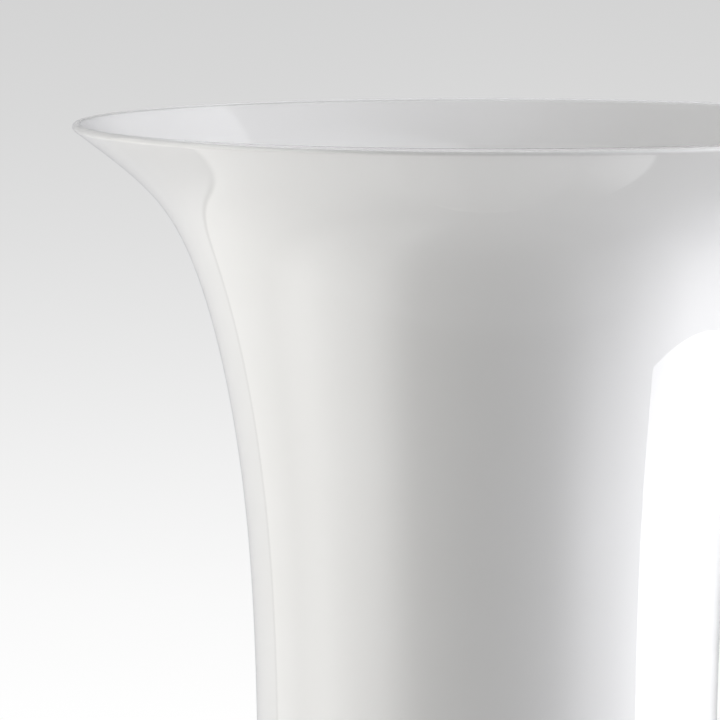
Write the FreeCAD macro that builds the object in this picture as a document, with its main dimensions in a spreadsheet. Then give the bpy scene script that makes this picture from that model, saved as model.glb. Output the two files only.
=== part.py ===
# Trumpet vase of blown cased glass: a white opal core between a clear casing and a clear lining.
# The origin is under the middle of the foot and +Z runs up the axis. Lengths are millimetres, leans degrees.

import math
import os

import FreeCAD
import Part
import Sketcher

os.makedirs("parts", exist_ok=True)
document = FreeCAD.newDocument("trumpet_vase")

# Driving dimensions
SIZES = [
    ("height", 520, "table to the top of the lip"),
    ("rim_radius", 130, "radius over the lip"),
    ("lip_lean", 53, "lean of the flared wall at the lip"),
    ("lip_reach", 23, "length over which the wall comes out to that lean"),
    ("throat_radius", 92.8, "radius that the flare is drawn towards under the lip"),
    ("throat_drop", 29, "depth of the throat below the lip"),
    ("neck_radius", 72.9, "radius that the neck is drawn towards"),
    ("neck_drop", 117.5, "depth of the neck below the lip"),
    ("waist_radius", 72, "radius that the waist is drawn towards"),
    ("waist_height", 290, "height of the waist"),
    ("body_radius", 72.2, "radius that the lower body is drawn towards"),
    ("body_height", 165, "height of the lower body"),
    ("foot_radius", 86, "radius of the foot over its heel"),
    ("foot_lean", 12, "lean inward of the wall over the heel"),
    ("foot_rise", 50, "length over which the wall leaves the heel"),
    ("heel_radius", 4, "rounding of the heel outside"),
    ("ring_radius", 60, "inner radius of the flat ring that the vase stands on"),
    ("punt_depth", 3, "hollow of the polished punt inside that ring"),
    ("casing_lip", 0.8, "clear casing at the lip"),
    ("casing_foot", 2, "clear casing at the foot"),
    ("casing_base", 6, "clear glass under the opal"),
    ("opal_lip", 1, "opal at the lip"),
    ("opal_foot", 1.6, "opal at the foot"),
    ("opal_base", 2, "opal in the floor"),
    ("opal_corner", 7, "rounding of the opal over the heel"),
    ("lining_lip", 0.7, "clear lining at the lip"),
    ("lining_foot", 1.6, "clear lining at the foot"),
    ("lining_base", 5, "clear lining in the floor"),
    ("lining_corner", 8, "rounding of the lining over the opal"),
    ("well_corner", 12, "rounding of the well where its wall meets its floor"),
    ("lip_clear", 0.6, "straight clear stretch between the end of the opal and the bead of the lip"),
]

sheet = document.addObject("Spreadsheet::Sheet", "sizes")
for row, (name, value, meaning) in enumerate(SIZES, start=1):
    sheet.set(f"A{row}", meaning)
    sheet.set(f"B{row}", str(value))
    sheet.setAlias(f"B{row}", name)
document.recompute()


# Measures that follow the sheet
class Measure:
    """A measure worked out from the sheet: the formula that ties it there, and its value now."""

    def __init__(self, formula, value):
        self.formula = formula
        self.value = value

    def __add__(self, other):
        return Measure(f"({self.formula} + {other.formula})", self.value + other.value)

    def __sub__(self, other):
        return Measure(f"({self.formula} - {other.formula})", self.value - other.value)

    def __mul__(self, other):
        return Measure(f"({self.formula} * {other.formula})", self.value * other.value)

    def __truediv__(self, other):
        return Measure(f"({self.formula} / {other.formula})", self.value / other.value)


def size(name):
    """A driving dimension of the sheet."""
    return Measure(f"sizes.{name}", float(sheet.get(name)))


def number(value):
    """A plain number in a formula."""
    return Measure(str(value), value)


def sine(lean):
    return Measure(f"sin({lean.formula})", math.sin(math.radians(lean.value)))


def cosine(lean):
    return Measure(f"cos({lean.formula})", math.cos(math.radians(lean.value)))


def lean_of(lower, upper):
    """The lean from upright of the line between two points, outward as it rises."""
    slope = (upper[0] - lower[0]) / (upper[1] - lower[1])
    return Measure(f"atan({slope.formula})", math.degrees(math.atan(slope.value)))


NONE = number(0)
WHOLE = number(1)
HALF = number(0.5)

# The three layers of glass, from outside to inside, with the name that their sizes start with
LAYERS = ["casing", "opal", "lining"]


def thickness(layer, drop_share):
    """A layer's thickness at a share of the way from the lip down to the foot."""
    at_lip = size(f"{layer}_lip")
    return at_lip + (size(f"{layer}_foot") - at_lip) * drop_share


def depth(surface, drop_share):
    """How deep in the wall a surface lies: 0 is the outside, 3 the inside of the well."""
    total = NONE
    for layer in LAYERS[:surface]:
        total = total + thickness(layer, drop_share)
    return total


def moved_in(point, lean, distance):
    """A point moved into the wall, square to a wall with that lean."""
    return (point[0] - cosine(lean) * distance, point[1] + sine(lean) * distance)


# The lip: a round bead as thick as the wall, at the end of a straight leaning stretch
lip_lean = size("lip_lean")
lip_round = depth(3, NONE) * HALF
bead = (size("rim_radius") - lip_round, size("height") - lip_round)
opal_end = (bead[0] - sine(lip_lean) * size("lip_clear"), bead[1] - cosine(lip_lean) * size("lip_clear"))
wall_end = moved_in(opal_end, lip_lean, NONE - lip_round)
flare = (wall_end[0] - sine(lip_lean) * size("lip_reach"), wall_end[1] - cosine(lip_lean) * size("lip_reach"))

# The foot: a rounded heel, then a straight stretch that leans inward as it rises
foot_lean = NONE - size("foot_lean")
heel_out = size("heel_radius") * cosine(foot_lean)
heel_up = size("heel_radius") - size("heel_radius") * sine(foot_lean)
heel = (size("foot_radius") - size("heel_radius") + heel_out, heel_up)
ankle = (heel[0] + sine(foot_lean) * size("foot_rise"), heel[1] + cosine(foot_lean) * size("foot_rise"))

# The points that the outside of the wall is drawn towards, from the heel up to the lip
OUTSIDE = [
    heel,
    ankle,
    (size("body_radius"), size("body_height")),
    (size("waist_radius"), size("waist_height")),
    (size("neck_radius"), size("height") - size("neck_drop")),
    (size("throat_radius"), size("height") - size("throat_drop")),
    flare,
    wall_end,
]

# How high each surface lies in the floor, and how its corner over the heel is rounded
FLOORS = [NONE]
for layer in LAYERS:
    FLOORS.append(FLOORS[-1] + size(f"{layer}_base"))
CORNERS = [size("heel_radius"), size("opal_corner"), size("lining_corner"), size("well_corner")]


def corner_centre(surface):
    """Centre of the corner between a surface's floor and its leaning wall over the heel."""
    round_off = CORNERS[surface]
    up = FLOORS[surface] + round_off
    inward = depth(surface, WHOLE) + round_off - (up - heel[1]) * sine(foot_lean)
    return (heel[0] - inward / cosine(foot_lean), up)


def corner_foot(surface):
    """Where a surface's floor starts to round up into its wall."""
    return (corner_centre(surface)[0], FLOORS[surface])


def wall_points(surface):
    """The points that one surface of the wall is drawn towards, parallel to the outside."""
    points = [moved_in(corner_centre(surface), foot_lean, NONE - CORNERS[surface])]
    points.append(moved_in(ankle, foot_lean, depth(surface, WHOLE)))
    for below, here, above in zip(OUTSIDE[1:-2], OUTSIDE[2:-2], OUTSIDE[3:-1]):
        lean = (lean_of(below, here) + lean_of(here, above)) * HALF
        drop_share = (size("height") - here[1]) / size("height")
        points.append(moved_in(here, lean, depth(surface, drop_share)))
    points.append(moved_in(flare, lip_lean, depth(surface, NONE)))
    points.append(moved_in(wall_end, lip_lean, depth(surface, NONE)))
    return points


# Drawing one layer's half outline
class Outline:
    """The half outline of a layer, drawn round in order on its body's upright plane."""

    def __init__(self, body):
        self.sketch = body.newObject("Sketcher::SketchObject", f"{body.Name}_outline")
        upright = [plane for plane in body.Origin.OriginFeatures if plane.Role == "XZ_Plane"][0]
        self.sketch.AttachmentSupport = [(upright, "")]
        self.sketch.MapMode = "FlatFace"
        self.pieces = []

    def tie(self, kind, element, point, measure, what):
        """Ties one point's distance from the axis (DistanceX) or height (DistanceY) to its measure."""
        if measure is NONE:
            axis = -2 if kind == "DistanceX" else -1
            self.sketch.addConstraint(Sketcher.Constraint("PointOnObject", element, point, axis))
            return
        tie = self.sketch.addConstraint(
            Sketcher.Constraint(kind, -1, 1, element, point, measure.value)
        )
        self.sketch.renameConstraint(tie, what)
        self.sketch.setExpression(f"Constraints.{what}", measure.formula)

    def place(self, element, point, at, what):
        self.tie("DistanceX", element, point, at[0], f"{what}_out")
        self.tie("DistanceY", element, point, at[1], f"{what}_up")

    def line(self, name, start, end):
        element = self.sketch.addGeometry(Part.LineSegment(vector(start), vector(end)), False)
        self.pieces.append((name, element, (1, 2), start))

    def arc(self, name, start, centre, end, clockwise=False):
        """A circle's arc between two corners, held by how far out its centre lies."""
        middle = vector(centre)
        first, last = (end, start) if clockwise else (start, end)
        spokes = [vector(first) - middle, vector(last) - middle]
        angles = [math.atan2(spoke.y, spoke.x) for spoke in spokes]
        circle = Part.Circle(middle, FreeCAD.Vector(0, 0, 1), spokes[0].Length)
        element = self.sketch.addGeometry(Part.ArcOfCircle(circle, angles[0], angles[1]), False)
        self.tie("DistanceX", element, 3, centre[0], f"{name}_centre_out")
        self.pieces.append((name, element, (2, 1) if clockwise else (1, 2), start))

    def wall(self, name, points):
        """One smooth curve along the wall, drawn towards its points."""
        curve = Part.BSplineCurve()
        spans = len(points) - 3
        ends_held = [4] + [1] * (spans - 1) + [4]
        curve.buildFromPolesMultsKnots(
            [vector(point) for point in points], ends_held, list(range(spans + 1)), False, 3
        )
        element = self.sketch.addGeometry(curve, False)
        self.sketch.exposeInternalGeometry(element)
        for index, point in enumerate(points):
            self.place(element + 1 + index, 3, point, f"{name}_{index}")
        self.pieces.append((name, element, (1, 2), None))

    def close(self):
        """Joins each piece to the next, and places the corners that no wall ends in."""
        for index, (name, element, ends, start) in enumerate(self.pieces):
            before = self.pieces[index - 1]
            joint = Sketcher.Constraint("Coincident", before[1], before[2][1], element, ends[0])
            self.sketch.addConstraint(joint)
            wall_ends_here = start is None or before[3] is None
            if not wall_ends_here:
                self.place(element, ends[0], start, f"{name}_start")
        return self.sketch


def vector(point):
    return FreeCAD.Vector(point[0].value, point[1].value, 0)


def turned_layer(name, draw):
    """A layer of glass as a body: its half outline turned once about the axis."""
    body = document.addObject("PartDesign::Body", name)
    body.Label = name
    outline = Outline(body)
    draw(outline)
    sketch = outline.close()
    turned = body.newObject("PartDesign::Revolution", f"{name}_turned")
    turned.Profile = sketch
    turned.ReferenceAxis = (sketch, ["V_Axis"])
    turned.Angle = 360
    sketch.Visibility = False
    return body


def up_wall(outline, surface):
    """From the axis along a surface's floor, round its corner and up its wall."""
    points = wall_points(surface)
    outline.line("floor", (NONE, FLOORS[surface]), corner_foot(surface))
    outline.arc("corner", corner_foot(surface), corner_centre(surface), points[0])
    outline.wall("wall", points)


def down_wall(outline, surface):
    """Down a surface's wall, round its corner and along its floor to the axis."""
    points = wall_points(surface)
    outline.wall("inner_wall", points[::-1])
    outline.arc("inner_corner", points[0], corner_centre(surface), corner_foot(surface), clockwise=True)
    outline.line("inner_floor", corner_foot(surface), (NONE, FLOORS[surface]))


# The middle of the opal's rounded end
opal_tip = moved_in(wall_end, lip_lean, size("casing_lip") + size("opal_lip") * HALF)


def draw_casing(outline):
    """Foot ring and punt, the outside wall, and the lip rolled over the end of the opal."""
    ring = (size("ring_radius"), NONE)
    lip_out = moved_in(bead, lip_lean, NONE - lip_round)
    lip_in = moved_in(bead, lip_lean, lip_round)
    opal_inside = wall_points(2)[-1]
    opal_outside = wall_points(1)[-1]
    below = size("ring_radius") * size("ring_radius") / size("punt_depth") * HALF
    punt_centre = (NONE, size("punt_depth") * HALF - below)
    outline.arc("punt", (NONE, size("punt_depth")), punt_centre, ring, clockwise=True)
    outline.line("ring", ring, corner_foot(0))
    outline.arc("corner", corner_foot(0), corner_centre(0), heel)
    outline.wall("wall", OUTSIDE)
    outline.line("lip_outside", wall_end, lip_out)
    outline.arc("lip", lip_out, bead, lip_in)
    outline.line("lip_inside", lip_in, wall_points(3)[-1])
    outline.line("seam", wall_points(3)[-1], opal_inside)
    outline.arc("opal_tip", opal_inside, opal_tip, opal_outside, clockwise=True)
    down_wall(outline, 1)
    outline.line("axis", (NONE, FLOORS[1]), (NONE, size("punt_depth")))


def draw_opal(outline):
    """The white core, rounded over at its top end inside the lip."""
    up_wall(outline, 1)
    outline.arc("opal_tip", wall_points(1)[-1], opal_tip, wall_points(2)[-1])
    down_wall(outline, 2)
    outline.line("axis", (NONE, FLOORS[2]), (NONE, FLOORS[1]))


def draw_lining(outline):
    """The clear well, up to the seam where it meets the casing under the lip."""
    up_wall(outline, 2)
    outline.line("seam", wall_points(2)[-1], wall_points(3)[-1])
    down_wall(outline, 3)
    outline.line("axis", (NONE, FLOORS[3]), (NONE, FLOORS[2]))


layers = [
    turned_layer("clear_casing", draw_casing),
    turned_layer("opal_core", draw_opal),
    turned_layer("clear_lining", draw_lining),
]
document.recompute()

for item in document.Objects:
    faults = [state for state in item.State if state in ("Invalid", "Error")]
    if faults:
        raise RuntimeError(f"{item.Label} is {faults[0]}")

for layer in layers:
    if layer.Shape.isNull() or not layer.Shape.isValid():
        raise RuntimeError(f"{layer.Label} has no valid solid")
    layer.Shape.exportStep(f"parts/{layer.Label}.step")
    print(layer.Label, round(layer.Shape.Volume), "mm3", len(layer.Shape.Faces), "faces")
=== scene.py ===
# Trumpet vase of blown cased glass: opal white between a clear casing and a clear lining.
# The opal and the clear glass round it are turned from the same wall curves as the frame's solids, dressed as
# glass and set on a pale floor among soft lights. Lengths are metres, the vase stands on z = 0 and +Z is its
# axis.

import math

import bpy
from bpy.props import FloatProperty, FloatVectorProperty, IntProperty, PointerProperty
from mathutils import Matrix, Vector


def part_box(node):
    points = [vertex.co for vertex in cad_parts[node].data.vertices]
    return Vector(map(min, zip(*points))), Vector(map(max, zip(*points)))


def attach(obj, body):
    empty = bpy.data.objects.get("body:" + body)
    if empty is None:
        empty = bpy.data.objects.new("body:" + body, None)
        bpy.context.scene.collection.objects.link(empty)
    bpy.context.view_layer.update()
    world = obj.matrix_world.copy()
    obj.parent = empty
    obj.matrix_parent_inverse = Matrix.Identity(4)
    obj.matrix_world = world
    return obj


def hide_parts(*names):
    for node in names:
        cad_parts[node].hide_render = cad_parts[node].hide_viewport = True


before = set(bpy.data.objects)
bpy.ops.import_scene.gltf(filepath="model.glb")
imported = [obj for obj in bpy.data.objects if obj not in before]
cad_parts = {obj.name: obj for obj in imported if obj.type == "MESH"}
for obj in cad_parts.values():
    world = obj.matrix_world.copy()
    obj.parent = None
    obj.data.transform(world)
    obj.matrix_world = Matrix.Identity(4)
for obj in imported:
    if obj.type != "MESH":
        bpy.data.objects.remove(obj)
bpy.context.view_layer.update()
casing_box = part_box("clear_casing")
opal_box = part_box("opal_core")

bl_info = {
    "name": "Trumpet vase",
    "version": (1, 0, 0),
    "blender": (4, 5, 0),
    "location": "3D View > Sidebar > Vase",
    "description": "Turns a cased glass trumpet vase and lights it on a pale floor",
    "category": "Object",
}


def length(name, default, description):
    """A length property in metres."""
    return FloatProperty(name=name, default=default, description=description, unit="LENGTH", precision=4)


def lean(name, degrees, description):
    """A lean from upright."""
    return FloatProperty(name=name, default=math.radians(degrees), description=description, subtype="ANGLE")


def colour(name, default, description):
    """A surface colour."""
    return FloatVectorProperty(
        name=name, default=default, description=description, subtype="COLOR", min=0, max=1,
    )


def floor_point(name, default, description):
    """A point on the floor, in metres."""
    return FloatVectorProperty(name=name, default=default, description=description, size=2, unit="LENGTH")


class VaseShape(bpy.types.PropertyGroup):
    """The vase's sizes."""

    height: length("Height", casing_box[1].z, "Table to the top of the lip")
    rim_radius: length("Rim radius", 0.13, "Radius over the lip")
    lip_lean: lean("Lip lean", 53, "Lean of the flared wall at the lip")
    lip_reach: length("Lip reach", 0.023, "Length over which the wall comes out to the lip's lean")
    lip_clear: length("Clear lip", 0.0006, "Straight clear stretch between the opal and the bead of the lip")
    throat_radius: length("Throat radius", 0.0928, "Radius that the flare is drawn towards")
    throat_drop: length("Throat drop", 0.029, "Depth of the throat below the lip")
    neck_radius: length("Neck radius", 0.0729, "Radius that the neck is drawn towards")
    neck_drop: length("Neck drop", 0.1175, "Depth of the neck below the lip")
    waist_radius: length("Waist radius", 0.072, "Radius that the waist is drawn towards")
    waist_height: length("Waist height", 0.29, "Height of the waist")
    body_radius: length("Body radius", 0.0722, "Radius that the lower body is drawn towards")
    body_height: length("Body height", 0.165, "Height of the lower body")
    foot_radius: length("Foot radius", 0.086, "Radius of the foot over its heel")
    foot_lean: lean("Foot lean", 12, "Lean inward of the wall over the heel")
    foot_rise: length("Foot rise", 0.05, "Length over which the wall leaves the heel")
    heel_radius: length("Heel rounding", 0.004, "Rounding of the heel outside")
    ring_radius: length("Ring radius", 0.06, "Inner radius of the flat ring that the vase stands on")
    punt_depth: length("Punt depth", 0.003, "Hollow of the polished punt inside the ring")
    casing_lip: length("Casing at the lip", 0.0008, "Clear casing at the lip")
    casing_foot: length("Casing at the foot", 0.002, "Clear casing at the foot")
    casing_base: length("Casing in the base", opal_box[0].z, "Clear glass under the opal")
    opal_lip: length("Opal at the lip", 0.001, "Opal at the lip")
    opal_foot: length("Opal at the foot", 0.0016, "Opal at the foot")
    opal_base: length("Opal in the floor", 0.002, "Opal in the floor")
    opal_corner: length("Opal corner", 0.007, "Rounding of the opal over the heel")
    lining_lip: length("Lining at the lip", 0.0007, "Clear lining at the lip")
    lining_foot: length("Lining at the foot", 0.0016, "Clear lining at the foot")
    lining_base: length("Lining in the floor", 0.005, "Clear lining in the floor")
    lining_corner: length("Lining corner", 0.008, "Rounding of the lining over the opal")
    well_corner: length("Well corner", 0.012, "Rounding of the well where its wall meets its floor")
    weld: length("Weld", 0.0001, "How far the clear glass bites into the opal, so that no air lies between")
    turns: IntProperty(name="Steps round", default=192, description="Facets once round the vase")


class VaseGlass(bpy.types.PropertyGroup):
    """The vase's colours."""

    opal: colour("Opal", (0.842, 0.838, 0.832), "Milky white of the opal glass")
    opal_cloud: colour("Clouds in the opal", (0.826, 0.821, 0.811), "Denser clouds in the opal")
    clear: colour("Clear glass", (0.978, 0.98, 0.979), "Faint tint of the clear glass")
    clear_thick: colour("Streaks in the clear glass", (0.966, 0.969, 0.967), "Streaks of deeper tint")


class VaseStage(bpy.types.PropertyGroup):
    """The camera, floor and lights."""

    camera_distance: length("Camera distance", 2.2, "Camera to the middle of the rim")
    floor_radius: length("Floor radius", 1.5, "Radius of the pale floor")
    floor: colour("Floor", (0.8, 0.8, 0.8), "Pale floor")
    lamp_near: floor_point("Lamp, near end", (0.953, -0.231), "Near end of the tall lamp on the floor")
    lamp_far: floor_point("Lamp, far end", (1.207, 0.891), "Far end of the tall lamp on the floor")
    lamp_height: length("Lamp height", 1.3, "Height of the tall lamp")
    lamp_brightness: FloatProperty(
        name="Lamp brightness", default=1.0, description="Brightness of the tall lamp, over its profile"
    )
    lamp_tint: colour("Lamp tint", (0.965, 0.97, 1.0), "Tint of the tall lamp")


# The photograph's frame, and the rim's ellipse in it, in pixels
PHOTO_SIDE = 720
RIM_MIDDLE_X = 488.0
RIM_MIDDLE_Y = 125.75
RIM_HALF_WIDTH = 415.7
RIM_HALF_HEIGHT = 25.7

# Steps along each stretch of a half outline
CURVE_STEPS = 14
BEAD_STEPS = 28
OPAL_TIP_STEPS = 8
CORNER_STEPS = 10
FLOOR_STEPS = 8
PUNT_STEPS = 16
SMOOTH_UP_TO = math.radians(35)

# How near a point is to the axis, or to another, to count as on it, in metres
ON_AXIS = 0.000001
SAME_PLACE = 0.000002
ENDS_MEET = 0.00001

# The middle part of a noise, which is all that the marks of blowing use, and how much finer the clouds are
NOISE_LOW = 0.3
NOISE_HIGH = 0.7
CLOUDS_FINER = 2.6

# The floor lies a hair under the foot, and fades out between two shares of its radius
FLOOR_DROP = 0.0002
FLOOR_STEPS_ROUND = 96
FLOOR_FADES_FROM = 0.35
FLOOR_FADES_TO = 0.98
FLOOR_ROUGHNESS = 0.6

# How bright the tall lamp is up its height
LAMP_PROFILE = [(0.0, 2.8), (0.25, 5.0), (0.55, 5.1), (1.0, 1.0)]

# The backdrop that the camera sees, from low to high
BACKDROP_BOTTOM = -0.146
BACKDROP_TOP = -0.044
BACKDROP = [
    (0.0, 1.0), (0.17, 0.953), (0.33, 0.888), (0.5, 0.815), (0.67, 0.745), (0.83, 0.694), (1.0, 0.658),
]
# The even tone that the clear lip shows of the room behind it
SEEN_THROUGH = 0.62

# Two of the lights' edges slant below the horizon, by a share of the fall down to a lowest height. Their gap
# mirrors as a thin dark line down the vase's left, and closes under a height. All in degrees.
EDGE_SLANT = 0.7
LOWEST_SLANT = -58
GAP = 1.8
GAP_CLOSES = -40
GAP_CLOSES_OVER = 5

# A pale sheet under the vase, behind it on the right, mirrored under the right of the lip. Its places are
# shares of the fall: sideways, backwards, and the slanting edge that it ends at.
SHEET_BRIGHTNESS = 1.05
SHEET_EDGE = 0.219
SHEET_EDGE_FADE = 0.01
SHEET_EDGE_SLANT = 0.15
SHEET_SIDEWAYS = (0.14, 0.2)
SHEET_BACKWARDS = (0.42, 0.3)
SHEET_BELOW = (0.8, 0.08)

# The tints of the room's soft lights, and the heights in degrees above the horizon that their levels are for
WARM = (1.0, 0.995, 0.98)
COOL = (0.985, 0.99, 1.02)
PLAIN = (1.0, 1.0, 1.0)
ROOM_HEIGHTS = [-86, -60, -36, -18, -4, 8, 22, 42, 64]


def at_heights(*levels):
    """Pairs each level with its height."""
    return list(zip(ROOM_HEIGHTS, levels))


# The room's soft lights: where each starts and ends round the vase, as (counted from, degrees, degrees that
# it fades over), its tint and how bright it is at the heights
ROOM_LIGHTS = [
    (
        "left, behind", ("front slanted", -122.4, 3), ("front", -96, 26), WARM,
        at_heights(0.35, 1.02, 1.12, 0.82, 0.9, 1.62, 1.1, 0.3, 0.33),
    ),
    (
        "left, beside", ("front", -96, 26), ("front", -72, 26), WARM,
        at_heights(0.35, 1.32, 2.74, 2.49, 2.36, 2.73, 2.31, 0.88, 0.2),
    ),
    (
        "left, before", ("front", -72, 26), ("front", -44, 30), WARM,
        at_heights(0.35, 1.1, 2.42, 2.5, 1.82, 1.5, 1.3, 0.59, 0.12),
    ),
    (
        "front", ("front", -44, 30), ("front", 42, 26), PLAIN,
        at_heights(0.35, 0.0, 0.0, 0.0, 0.02, 0.02, 0.02, 0.06, 1.2),
    ),
    (
        "right, before", ("front", 42, 26), ("front", 66, 20), COOL,
        at_heights(0.35, 0.0, 0.7, 1.75, 0.8, 0.4, 0.72, 1.58, 1.99),
    ),
    (
        "right, beside", ("front", 66, 20), ("front", 104, 24), COOL,
        at_heights(0.35, 0.0, 1.25, 1.55, 1.45, 1.8, 2.3, 1.9, 0.94),
    ),
    (
        "right, behind", ("front", 104, 24), ("front", 134, 24), COOL,
        at_heights(0.35, 0.12, 0.18, 0.0, 0.0, 0.0, 0.0, 0.0, 0.78),
    ),
    (
        "back, right", ("back", -46, 24), ("back", -10, 24), COOL,
        [
            (-86, 0.35), (-60, 0.15), (-36, 0.0), (8, 0.0), (22, 0.35),
            (35, 0.35), (44, 0.7), (48.2, 0.9), (49.4, 0.15), (64, 0.0),
        ],
    ),
    (
        "back, middle", ("back", -10, 24), ("back", 28, 24), COOL,
        at_heights(0.35, 0.0, 0.53, 0.61, 0.5, 0.42, 0.45, 0.45, 0.18),
    ),
    (
        "back, left", ("back", 28, 24), ("back slanted", 56, 3), COOL,
        at_heights(0.35, 0.71, 1.02, 0.59, 0.45, 0.45, 0.55, 0.45, 0.06),
    ),
    (
        "front floor", ("front", -75, 30), ("front", 62, 30), PLAIN,
        [(-86, 0), (-70, 0.30), (-39.5, 0.30), (-36.5, 0)],
    ),
]


# Wall curves, with x out from the axis and y up it
def moved_in(point, wall_lean, distance):
    """A point moved into the wall, square to a wall with that lean."""
    return Vector((point.x - distance * math.cos(wall_lean), point.y + distance * math.sin(wall_lean)))


def along(wall_lean, distance):
    """A step up along a wall with that lean."""
    return Vector((math.sin(wall_lean), math.cos(wall_lean))) * distance


def lean_of(lower, upper):
    """The lean of the line between two points."""
    return math.atan2(upper.x - lower.x, upper.y - lower.y)


class Wall:
    """The curves of the vase's wall: surface 0 is its outside and surface 3 the inside of its well."""

    def __init__(self, shape):
        self.shape = shape
        self.layers = [
            (shape.casing_lip, shape.casing_foot, shape.casing_base),
            (shape.opal_lip, shape.opal_foot, shape.opal_base),
            (shape.lining_lip, shape.lining_foot, shape.lining_base),
        ]
        self.corners = [shape.heel_radius, shape.opal_corner, shape.lining_corner, shape.well_corner]
        self.lip_round = self.depth(3, 0) / 2
        self.bead = Vector((shape.rim_radius - self.lip_round, shape.height - self.lip_round))
        opal_end = self.bead - along(shape.lip_lean, shape.lip_clear)
        wall_end = moved_in(opal_end, shape.lip_lean, -self.lip_round)
        flare = wall_end - along(shape.lip_lean, shape.lip_reach)
        heel_middle = Vector((shape.foot_radius - shape.heel_radius, shape.heel_radius))
        self.heel = moved_in(heel_middle, -shape.foot_lean, -shape.heel_radius)
        ankle = self.heel + along(-shape.foot_lean, shape.foot_rise)
        self.outside = [
            self.heel,
            ankle,
            Vector((shape.body_radius, shape.body_height)),
            Vector((shape.waist_radius, shape.waist_height)),
            Vector((shape.neck_radius, shape.height - shape.neck_drop)),
            Vector((shape.throat_radius, shape.height - shape.throat_drop)),
            flare,
            wall_end,
        ]
        self.opal_tip = moved_in(wall_end, shape.lip_lean, shape.casing_lip + shape.opal_lip / 2)

    def depth(self, surface, drop_share):
        """How deep in the wall a surface lies, at a share of the way from the lip down to the foot."""
        return sum(at_lip + (at_foot - at_lip) * drop_share for at_lip, at_foot, _ in self.layers[:surface])

    def floor(self, surface, bite=0):
        """How high a surface lies in the vase's floor."""
        return sum(base for _, _, base in self.layers[:surface]) + bite

    def corner(self, surface, bite=0):
        """The middle of the corner between a surface's floor and its leaning wall."""
        round_off = self.corners[surface]
        up = self.floor(surface, bite) + round_off
        foot_lean = self.shape.foot_lean
        inward = self.depth(surface, 1) + bite + round_off + (up - self.heel.y) * math.sin(foot_lean)
        return Vector((self.heel.x - inward / math.cos(foot_lean), up))

    def points(self, surface, bite=0):
        """The points that a surface of the wall is drawn towards, from the corner up to the lip."""
        shape = self.shape
        outside = self.outside
        points = [moved_in(self.corner(surface, bite), -shape.foot_lean, -self.corners[surface])]
        points.append(moved_in(outside[1], -shape.foot_lean, self.depth(surface, 1) + bite))
        for below, here, above in zip(outside[1:-2], outside[2:-2], outside[3:-1]):
            wall_lean = (lean_of(below, here) + lean_of(here, above)) / 2
            drop_share = (shape.height - here.y) / shape.height
            points.append(moved_in(here, wall_lean, self.depth(surface, drop_share) + bite))
        for end in outside[-2:]:
            points.append(moved_in(end, shape.lip_lean, self.depth(surface, 0) + bite))
        return points


# Half outlines, drawn in the XZ plane and turned about the axis
def upright(point):
    """A point of the outline as a place in the XZ plane."""
    return Vector((point.x, 0, point.y))


def deselect_all():
    """Deselects every object."""
    for item in bpy.context.selected_objects:
        item.select_set(False)


class HalfOutline:
    """A chain of edges from one wall curve, grown from its end by extruding and spinning."""

    def __init__(self, points):
        """Starts the chain as one smooth curve drawn towards the points; its last end stays picked."""
        deselect_all()
        bpy.ops.curve.primitive_nurbs_path_add()
        self.item = bpy.context.object
        spline = self.item.data.splines[0]
        spline.points.add(len(points) - len(spline.points))
        for control, point in zip(spline.points, points):
            control.co = (*upright(point), 1)
        spline.order_u = 4
        spline.use_endpoint_u = True
        spline.resolution_u = CURVE_STEPS
        bpy.ops.object.convert(target="MESH")
        self.pick(points[-1])

    def pick(self, point):
        """Picks the vertex at a point, so that the chain grows from there."""
        bpy.ops.object.mode_set(mode="EDIT")
        bpy.ops.mesh.select_mode(type="VERT")
        bpy.ops.mesh.select_all(action="DESELECT")
        bpy.ops.object.mode_set(mode="OBJECT")
        place = upright(point)
        nearest = min(self.item.data.vertices, key=lambda vertex: (vertex.co - place).length)
        nearest.select = True
        self.end = nearest.co.copy()

    def line(self, point, steps=1):
        """Extrudes the end in a straight line to a point."""
        move = (upright(point) - self.end) / steps
        bpy.ops.object.mode_set(mode="EDIT")
        for _ in range(steps):
            bpy.ops.mesh.extrude_region_move(TRANSFORM_OT_translate={"value": move})
        bpy.ops.object.mode_set(mode="OBJECT")
        self.end = upright(point)

    def arc(self, middle, point, steps, clockwise=False):
        """Spins the end about a middle until it reaches a point, with x to the right and z up."""
        start = self.end - upright(middle)
        finish = upright(point) - upright(middle)
        angle = (math.atan2(finish.z, finish.x) - math.atan2(start.z, start.x)) % math.tau
        if clockwise:
            angle -= math.tau
        bpy.ops.object.mode_set(mode="EDIT")
        bpy.ops.mesh.spin(steps=steps, angle=angle, center=upright(middle), axis=(0, 1, 0))
        bpy.ops.object.mode_set(mode="OBJECT")
        self.end = upright(point)

    def join(self, other):
        """Joins another chain to this one and welds the ends that meet."""
        deselect_all()
        other.item.select_set(True)
        self.item.select_set(True)
        bpy.context.view_layer.objects.active = self.item
        bpy.ops.object.join()
        bpy.ops.object.mode_set(mode="EDIT")
        bpy.ops.mesh.select_all(action="SELECT")
        bpy.ops.mesh.remove_doubles(threshold=ENDS_MEET)
        bpy.ops.object.mode_set(mode="OBJECT")

    def turn(self, name, steps, inside=False):
        """Turns the outline once about the axis and returns the closed skin, facing out or into its room."""
        for vertex in self.item.data.vertices:
            if abs(vertex.co.x) < ON_AXIS:
                vertex.co.x = 0
        bpy.ops.object.mode_set(mode="EDIT")
        bpy.ops.mesh.select_all(action="SELECT")
        bpy.ops.mesh.spin(steps=steps, angle=math.tau, center=(0, 0, 0), axis=(0, 0, 1))
        bpy.ops.mesh.select_all(action="SELECT")
        bpy.ops.mesh.remove_doubles(threshold=SAME_PLACE)
        bpy.ops.mesh.normals_make_consistent(inside=inside)
        bpy.ops.object.mode_set(mode="OBJECT")
        self.item.name = name
        self.item.data.name = name
        bpy.ops.object.shade_smooth_by_angle(angle=SMOOTH_UP_TO)
        return self.item


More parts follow.
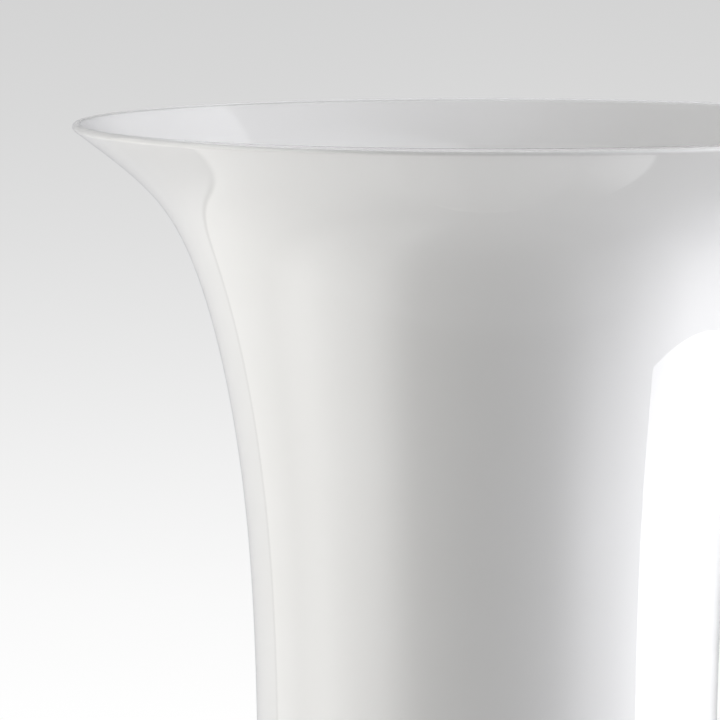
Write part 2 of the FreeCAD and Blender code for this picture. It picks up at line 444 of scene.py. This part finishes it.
def floor_to_axis(outline, wall, surface, bite=0):
    """From the foot of a surface's wall, round its corner and along its floor to the axis."""
    outline.pick(wall.points(surface, bite)[0])
    middle = wall.corner(surface, bite)
    outline.arc(middle, Vector((middle.x, wall.floor(surface, bite))), CORNER_STEPS, clockwise=True)
    outline.line(Vector((0, wall.floor(surface, bite))), steps=FLOOR_STEPS)


def opal_outline(wall, bite=0):
    """The outline of the opal, or of its room in the clear glass that bites into it."""
    inner = wall.points(2, -bite)
    outline = HalfOutline(wall.points(1, bite))
    outline.arc(wall.opal_tip, inner[-1], OPAL_TIP_STEPS)
    outline.join(HalfOutline(inner))
    floor_to_axis(outline, wall, 1, bite)
    floor_to_axis(outline, wall, 2, -bite)
    return outline


# Materials
def node(tree, kind, **values):
    """Adds a node and sets its attributes."""
    made = tree.nodes.new(kind)
    for name, value in values.items():
        setattr(made, name, value)
    return made


def new_material(name):
    """A material with an empty node tree."""
    material = bpy.data.materials.new(name)
    material.use_nodes = True
    material.node_tree.nodes.clear()
    return material


def blown_marks():
    """The node group of the faint marks of blowing: their height and a cloud mask."""
    group = bpy.data.node_groups.get("blown_marks")
    if group:
        return group
    group = bpy.data.node_groups.new("blown_marks", "ShaderNodeTree")
    for name, default in (("Length", 9.0), ("Stretch", 3.0), ("Detail", 2.0)):
        socket = group.interface.new_socket(name, in_out="INPUT", socket_type="NodeSocketFloat")
        socket.default_value = default
    for name in ("Height", "Cloud"):
        group.interface.new_socket(name, in_out="OUTPUT", socket_type="NodeSocketFloat")
    given = node(group, "NodeGroupInput")
    result = node(group, "NodeGroupOutput")
    place = node(group, "ShaderNodeTexCoord")
    stretched = node(group, "ShaderNodeCombineXYZ")
    stretched.inputs["X"].default_value = 1
    stretched.inputs["Y"].default_value = 1
    spread = node(group, "ShaderNodeVectorMath", operation="MULTIPLY")
    waves = node(group, "ShaderNodeTexNoise")
    cloud = node(group, "ShaderNodeTexNoise")
    finer = node(group, "ShaderNodeMath", operation="MULTIPLY")
    finer.inputs[1].default_value = CLOUDS_FINER
    group.links.new(given.outputs["Stretch"], stretched.inputs["Z"])
    group.links.new(place.outputs["Object"], spread.inputs[0])
    group.links.new(stretched.outputs[0], spread.inputs[1])
    for noise in (waves, cloud):
        group.links.new(spread.outputs[0], noise.inputs["Vector"])
        group.links.new(given.outputs["Detail"], noise.inputs["Detail"])
    group.links.new(given.outputs["Length"], waves.inputs["Scale"])
    group.links.new(given.outputs["Length"], finer.inputs[0])
    group.links.new(finer.outputs[0], cloud.inputs["Scale"])
    group.links.new(waves.outputs["Fac"], result.inputs["Height"])
    group.links.new(cloud.outputs["Fac"], result.inputs["Cloud"])
    return group


def marks(tree, length, stretch, detail):
    """Puts the marks into a material, with their own size."""
    made = node(tree, "ShaderNodeGroup", node_tree=blown_marks())
    made.inputs["Length"].default_value = length
    made.inputs["Stretch"].default_value = stretch
    made.inputs["Detail"].default_value = detail
    return made


def spread_between(tree, value, low, high):
    """Spreads a noise value between two numbers."""
    made = node(tree, "ShaderNodeMapRange")
    made.inputs["From Min"].default_value = NOISE_LOW
    made.inputs["From Max"].default_value = NOISE_HIGH
    made.inputs["To Min"].default_value = low
    made.inputs["To Max"].default_value = high
    tree.links.new(value, made.inputs["Value"])
    return made.outputs[0]


def two_tones(tree, mask, first, second):
    """Mixes two near colours by a mask."""
    made = node(tree, "ShaderNodeMix", data_type="RGBA")
    colour_inputs = [socket for socket in made.inputs if socket.type == "RGBA"]
    colour_inputs[0].default_value = (*first, 1)
    colour_inputs[1].default_value = (*second, 1)
    tree.links.new(mask, made.inputs["Factor"])
    return next(socket for socket in made.outputs if socket.type == "RGBA")


def wavy_normal(tree, height, strength, depth):
    """A bump as deep as the marks are."""
    made = node(tree, "ShaderNodeBump")
    made.inputs["Strength"].default_value = strength
    made.inputs["Distance"].default_value = depth
    tree.links.new(height, made.inputs["Height"])
    return made.outputs[0]


def opal_glass(glass):
    """Milky white glass: faintly cloudy, and matt under its clear casing."""
    material = new_material("milky_opal_glass")
    tree = material.node_tree
    output = node(tree, "ShaderNodeOutputMaterial")
    skin = node(tree, "ShaderNodeBsdfPrincipled")
    skin.inputs["Specular IOR Level"].default_value = 0.0
    milk = marks(tree, length=7.0, stretch=2.2, detail=3.0)
    white = two_tones(tree, milk.outputs["Cloud"], glass.opal, glass.opal_cloud)
    sheen = spread_between(tree, milk.outputs["Cloud"], low=0.3, high=0.42)
    relief = wavy_normal(tree, milk.outputs["Height"], strength=0.25, depth=0.0006)
    tree.links.new(white, skin.inputs["Base Color"])
    tree.links.new(sheen, skin.inputs["Roughness"])
    tree.links.new(relief, skin.inputs["Normal"])
    tree.links.new(skin.outputs[0], output.inputs["Surface"])
    return material


def clear_glass(glass):
    """Clear, fire-polished glass that lets the lamps through to the opal behind it."""
    material = new_material("fire_polished_glass")
    tree = material.node_tree
    output = node(tree, "ShaderNodeOutputMaterial")
    skin = node(tree, "ShaderNodeBsdfPrincipled")
    skin.inputs["IOR"].default_value = 1.5
    skin.inputs["Transmission Weight"].default_value = 1.0
    melt = marks(tree, length=16.0, stretch=1.6, detail=1.0)
    tint = two_tones(tree, melt.outputs["Cloud"], glass.clear, glass.clear_thick)
    polish = spread_between(tree, melt.outputs["Cloud"], low=0.0, high=0.02)
    relief = wavy_normal(tree, melt.outputs["Height"], strength=0.08, depth=0.0004)
    tree.links.new(tint, skin.inputs["Base Color"])
    tree.links.new(polish, skin.inputs["Roughness"])
    tree.links.new(relief, skin.inputs["Normal"])
    open_way = node(tree, "ShaderNodeBsdfTransparent")
    path = node(tree, "ShaderNodeLightPath")
    for_diffuse = node(tree, "ShaderNodeMixShader")
    for_lamps = node(tree, "ShaderNodeMixShader")
    tree.links.new(path.outputs["Is Diffuse Ray"], for_diffuse.inputs["Fac"])
    tree.links.new(skin.outputs[0], for_diffuse.inputs[1])
    tree.links.new(open_way.outputs[0], for_diffuse.inputs[2])
    tree.links.new(path.outputs["Is Shadow Ray"], for_lamps.inputs["Fac"])
    tree.links.new(for_diffuse.outputs[0], for_lamps.inputs[1])
    tree.links.new(open_way.outputs[0], for_lamps.inputs[2])
    tree.links.new(for_lamps.outputs[0], output.inputs["Surface"])
    return material


def dress(item, material):
    """Gives a piece its material and its body."""
    item.data.materials.clear()
    item.data.materials.append(material)
    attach(item, "root")


# One operator for each piece
class VASE_OT_opal_core(bpy.types.Operator):
    """Turn the white opal core"""

    bl_idname = "vase.opal_core"
    bl_label = "Opal core"

    def execute(self, context):
        shape = context.scene.vase_shape
        core = opal_outline(Wall(shape)).turn("white_opal_core", shape.turns)
        dress(core, opal_glass(context.scene.vase_glass))
        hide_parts("opal_core")
        return {"FINISHED"}


class VASE_OT_clear_glass(bpy.types.Operator):
    """Turn the clear glass: the casing with its foot ring and lip, fused to the lining of the well"""

    bl_idname = "vase.clear_glass"
    bl_label = "Clear glass"

    def execute(self, context):
        shape = context.scene.vase_shape
        wall = Wall(shape)
        skin = HalfOutline(wall.points(0))
        skin.line(moved_in(wall.bead, shape.lip_lean, -wall.lip_round))
        skin.arc(wall.bead, moved_in(wall.bead, shape.lip_lean, wall.lip_round), BEAD_STEPS)
        skin.line(wall.points(3)[-1])
        skin.join(HalfOutline(wall.points(3)))
        floor_to_axis(skin, wall, 3)
        heel_middle = wall.corner(0)
        skin.pick(wall.points(0)[0])
        skin.arc(heel_middle, Vector((heel_middle.x, 0)), CORNER_STEPS, clockwise=True)
        skin.line(Vector((shape.ring_radius, 0)))
        punt_middle = (shape.punt_depth - shape.ring_radius**2 / shape.punt_depth) / 2
        skin.arc(Vector((0, punt_middle)), Vector((0, shape.punt_depth)), PUNT_STEPS)
        clear = skin.turn("clear_glass_body", shape.turns)
        opal_room = opal_outline(wall, shape.weld).turn("opal_room", shape.turns, inside=True)
        deselect_all()
        opal_room.select_set(True)
        clear.select_set(True)
        context.view_layer.objects.active = clear
        bpy.ops.object.join()
        dress(clear, clear_glass(context.scene.vase_glass))
        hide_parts("clear_casing", "clear_lining")
        return {"FINISHED"}


# Stage
def aim_camera(shape, stage):
    """Places the camera so that the rim falls on its ellipse in the photograph's frame."""
    rise = math.asin(RIM_HALF_HEIGHT / RIM_HALF_WIDTH)
    distance = stage.camera_distance
    focal = RIM_HALF_WIDTH * math.sqrt(distance**2 - shape.rim_radius**2) / shape.rim_radius
    rim_height = Wall(shape).bead.y
    data = bpy.data.cameras.new("photo_camera")
    camera = bpy.data.objects.new("photo_camera", data)
    bpy.context.scene.collection.objects.link(camera)
    data.sensor_fit = "HORIZONTAL"
    data.lens = focal / PHOTO_SIDE * data.sensor_width
    data.clip_end = 50
    camera.location = (0, -distance * math.cos(rise), rim_height + distance * math.sin(rise))
    down = rise + math.atan((PHOTO_SIDE / 2 - RIM_MIDDLE_Y) / focal)
    left = math.atan((RIM_MIDDLE_X - PHOTO_SIDE / 2) / focal)
    camera.rotation_euler = (math.pi / 2 - down, 0, left)
    bpy.context.scene.camera = camera


def ramp(tree, value, stops):
    """A colour ramp through stops of (place, colour)."""
    made = node(tree, "ShaderNodeValToRGB")
    elements = made.color_ramp.elements
    elements.remove(elements[-1])
    for number, (place, shade) in enumerate(stops):
        element = elements.new(place) if number else elements[0]
        element.position = place
        element.color = (*shade, 1)
    tree.links.new(value, made.inputs["Fac"])
    return made.outputs["Color"]


def math_node(tree, operation, first, second=None):
    """A math node on sockets or numbers."""
    made = node(tree, "ShaderNodeMath", operation=operation)
    for socket, value in zip(made.inputs, (first, second)):
        if isinstance(value, bpy.types.NodeSocket):
            tree.links.new(value, socket)
        elif value is not None:
            socket.default_value = value
    return made.outputs[0]


def fade(tree, value, middle, width, start=0.0, end=1.0):
    """A soft change from start to end round a middle."""
    made = node(tree, "ShaderNodeMapRange", interpolation_type="SMOOTHSTEP")
    made.inputs["From Min"].default_value = middle - width / 2
    made.inputs["From Max"].default_value = middle + width / 2
    made.inputs["To Min"].default_value = start
    made.inputs["To Max"].default_value = end
    tree.links.new(value, made.inputs["Value"])
    return made.outputs[0]


def tall_light(stage):
    """The tall lamp that stands on the floor at the right, brightest at the height of the neck."""
    near = Vector((*stage.lamp_near, 0))
    far = Vector((*stage.lamp_far, 0))
    run = far - near
    data = bpy.data.lights.new("tall_light", "AREA")
    data.shape = "RECTANGLE"
    data.size = run.length
    data.size_y = stage.lamp_height
    data.energy = stage.lamp_brightness * run.length * stage.lamp_height * math.pi
    data.color = stage.lamp_tint
    lamp = bpy.data.objects.new("tall_light", data)
    bpy.context.scene.collection.objects.link(lamp)
    lamp.location = (near + far) / 2 + Vector((0, 0, stage.lamp_height / 2))
    facing = Vector((-run.y, run.x, 0))
    lamp.rotation_euler = facing.to_track_quat("-Z", "Y").to_euler()
    lamp.visible_camera = False
    lamp.visible_transmission = False
    data.use_nodes = True
    tree = data.node_tree
    tree.nodes.clear()
    place = node(tree, "ShaderNodeNewGeometry")
    parts = node(tree, "ShaderNodeSeparateXYZ")
    tree.links.new(place.outputs["Parametric"], parts.inputs[0])
    glow = node(tree, "ShaderNodeEmission")
    output = node(tree, "ShaderNodeOutputLight")
    stops = [(share, (level, level, level)) for share, level in LAMP_PROFILE]
    tree.links.new(ramp(tree, parts.outputs["Y"], stops), glow.inputs["Strength"])
    tree.links.new(glow.outputs[0], output.inputs[0])


def bearings(tree, x, y, up):
    """The directions round the vase in degrees, counted from the camera's side and from the back."""
    turn = 180 / math.pi
    minus_x = math_node(tree, "MULTIPLY", x, -1)
    minus_y = math_node(tree, "MULTIPLY", y, -1)
    from_front = math_node(tree, "MULTIPLY", math_node(tree, "ARCTAN2", x, minus_y), turn)
    from_back = math_node(tree, "MULTIPLY", math_node(tree, "ARCTAN2", minus_x, y), turn)
    below = math_node(tree, "MAXIMUM", math_node(tree, "MINIMUM", up, 0), LOWEST_SLANT)
    slant = math_node(tree, "MULTIPLY", below, -EDGE_SLANT)
    closing = fade(tree, up, GAP_CLOSES, GAP_CLOSES_OVER, GAP, 0)
    return {
        "front": from_front,
        "front slanted": math_node(tree, "ADD", math_node(tree, "ADD", from_front, slant), closing),
        "back": from_back,
        "back slanted": math_node(tree, "ADD", from_back, slant),
    }


def add_up(tree, total, more):
    """Adds a light to the others."""
    together = node(tree, "ShaderNodeVectorMath", operation="ADD")
    tree.links.new(total, together.inputs[0])
    tree.links.new(more, together.inputs[1])
    return together.outputs[0]


def soft_lights(tree, counted, up):
    """The sum of the room's soft lights."""
    height = math_node(tree, "DIVIDE", math_node(tree, "ADD", up, 90), 180)
    total = None
    for name, (start_on, start, start_fade), (end_on, end, end_fade), tint, levels in ROOM_LIGHTS:
        opens = fade(tree, counted[start_on], start, start_fade)
        closes = fade(tree, counted[end_on], end, end_fade, 1, 0)
        stops = [((at + 90) / 180, [level * part for part in tint]) for at, level in levels]
        lit = node(tree, "ShaderNodeVectorMath", operation="SCALE", label=name)
        tree.links.new(ramp(tree, height, stops), lit.inputs[0])
        tree.links.new(math_node(tree, "MULTIPLY", opens, closes), lit.inputs["Scale"])
        total = add_up(tree, total, lit.outputs[0]) if total else lit.outputs[0]
    return total


def pale_sheet(tree, x, y, z):
    """The light of the pale sheet under the vase."""
    fall = math_node(tree, "MULTIPLY", z, -1)
    sideways = math_node(tree, "DIVIDE", x, fall)
    backwards = math_node(tree, "DIVIDE", y, fall)
    edge = math_node(tree, "SUBTRACT", sideways, math_node(tree, "MULTIPLY", backwards, SHEET_EDGE_SLANT))
    sheet = fade(tree, edge, SHEET_EDGE, SHEET_EDGE_FADE, 1, 0)
    for value, (middle, width) in (
        (sideways, SHEET_SIDEWAYS), (backwards, SHEET_BACKWARDS), (fall, SHEET_BELOW),
    ):
        sheet = math_node(tree, "MULTIPLY", sheet, fade(tree, value, middle, width))
    return math_node(tree, "MULTIPLY", sheet, SHEET_BRIGHTNESS)


def world_light():
    """A pale backdrop for the camera, and for the glass a dim room with soft lights round it."""
    world = bpy.data.worlds.new("pale_room")
    bpy.context.scene.world = world
    world.use_nodes = True
    tree = world.node_tree
    tree.nodes.clear()
    output = node(tree, "ShaderNodeOutputWorld")
    place = node(tree, "ShaderNodeTexCoord")
    parts = node(tree, "ShaderNodeSeparateXYZ")
    tree.links.new(place.outputs["Generated"], parts.inputs[0])
    x, y, z = parts.outputs
    seen = node(tree, "ShaderNodeBackground")
    shades = [(share, (level, level, level)) for share, level in BACKDROP]
    drop = node(tree, "ShaderNodeMapRange")
    drop.inputs["From Min"].default_value = BACKDROP_BOTTOM
    drop.inputs["From Max"].default_value = BACKDROP_TOP
    tree.links.new(z, drop.inputs["Value"])
    tree.links.new(ramp(tree, drop.outputs[0], shades), seen.inputs["Color"])
    up = math_node(tree, "MULTIPLY", math_node(tree, "ARCSINE", z), 180 / math.pi)
    lights = soft_lights(tree, bearings(tree, x, y, up), up)
    room = node(tree, "ShaderNodeBackground")
    tree.links.new(add_up(tree, lights, pale_sheet(tree, x, y, z)), room.inputs["Color"])
    through = node(tree, "ShaderNodeBackground")
    through.inputs["Color"].default_value = (SEEN_THROUGH, SEEN_THROUGH, SEEN_THROUGH, 1)
    path = node(tree, "ShaderNodeLightPath")
    bent = node(tree, "ShaderNodeMixShader")
    tree.links.new(path.outputs["Is Transmission Ray"], bent.inputs["Fac"])
    tree.links.new(room.outputs[0], bent.inputs[1])
    tree.links.new(through.outputs[0], bent.inputs[2])
    chosen = node(tree, "ShaderNodeMixShader")
    tree.links.new(path.outputs["Is Camera Ray"], chosen.inputs["Fac"])
    tree.links.new(bent.outputs[0], chosen.inputs[1])
    tree.links.new(seen.outputs[0], chosen.inputs[2])
    tree.links.new(chosen.outputs[0], output.inputs["Surface"])


def pale_floor(stage):
    """A disc of floor that fades out at its edge and can be seen through from below, for the camera only."""
    deselect_all()
    bpy.ops.mesh.primitive_circle_add(
        vertices=FLOOR_STEPS_ROUND, radius=stage.floor_radius, fill_type="NGON", location=(0, 0, -FLOOR_DROP)
    )
    floor = bpy.context.object
    bpy.ops.object.transform_apply(location=True, rotation=False, scale=False)
    floor.name = "pale_floor"
    material = new_material("pale_floor")
    tree = material.node_tree
    output = node(tree, "ShaderNodeOutputMaterial")
    paint = node(tree, "ShaderNodeBsdfPrincipled")
    paint.inputs["Base Color"].default_value = (*stage.floor, 1)
    paint.inputs["Roughness"].default_value = FLOOR_ROUGHNESS
    clear = node(tree, "ShaderNodeBsdfTransparent")
    place = node(tree, "ShaderNodeTexCoord")
    out = node(tree, "ShaderNodeVectorMath", operation="LENGTH")
    tree.links.new(place.outputs["Object"], out.inputs[0])
    edge = node(tree, "ShaderNodeMapRange", interpolation_type="SMOOTHSTEP")
    edge.inputs["From Min"].default_value = stage.floor_radius * FLOOR_FADES_FROM
    edge.inputs["From Max"].default_value = stage.floor_radius * FLOOR_FADES_TO
    tree.links.new(out.outputs["Value"], edge.inputs["Value"])
    side = node(tree, "ShaderNodeNewGeometry")
    hidden = node(tree, "ShaderNodeMath", operation="MAXIMUM")
    tree.links.new(edge.outputs[0], hidden.inputs[0])
    tree.links.new(side.outputs["Backfacing"], hidden.inputs[1])
    blend = node(tree, "ShaderNodeMixShader")
    tree.links.new(hidden.outputs[0], blend.inputs["Fac"])
    tree.links.new(paint.outputs[0], blend.inputs[1])
    tree.links.new(clear.outputs[0], blend.inputs[2])
    tree.links.new(blend.outputs[0], output.inputs["Surface"])
    floor.data.materials.append(material)
    floor.visible_diffuse = False
    floor.visible_glossy = False
    floor.visible_shadow = False


class VASE_OT_stage(bpy.types.Operator):
    """Set the camera, the pale floor and the lights"""

    bl_idname = "vase.stage"
    bl_label = "Stage"

    def execute(self, context):
        stage = context.scene.vase_stage
        aim_camera(context.scene.vase_shape, stage)
        pale_floor(stage)
        world_light()
        tall_light(stage)
        bpy.context.scene.view_settings.view_transform = "Standard"
        return {"FINISHED"}


class VASE_PT_panel(bpy.types.Panel):
    """The vase's sidebar"""

    bl_idname = "VASE_PT_panel"
    bl_label = "Trumpet vase"
    bl_space_type = "VIEW_3D"
    bl_region_type = "UI"
    bl_category = "Vase"

    def draw(self, context):
        for step in STEPS:
            self.layout.operator(step.bl_idname)


STEPS = [VASE_OT_opal_core, VASE_OT_clear_glass, VASE_OT_stage]
CLASSES = [VaseShape, VaseGlass, VaseStage, *STEPS, VASE_PT_panel]


def register():
    for item in CLASSES:
        bpy.utils.register_class(item)
    bpy.types.Scene.vase_shape = PointerProperty(type=VaseShape)
    bpy.types.Scene.vase_glass = PointerProperty(type=VaseGlass)
    bpy.types.Scene.vase_stage = PointerProperty(type=VaseStage)


def unregister():
    del bpy.types.Scene.vase_stage
    del bpy.types.Scene.vase_glass
    del bpy.types.Scene.vase_shape
    for item in reversed(CLASSES):
        bpy.utils.unregister_class(item)


def main():
    """Builds both pieces and the stage."""
    register()
    bpy.ops.vase.opal_core()
    bpy.ops.vase.clear_glass()
    bpy.ops.vase.stage()


if __name__ == "__main__":
    main()
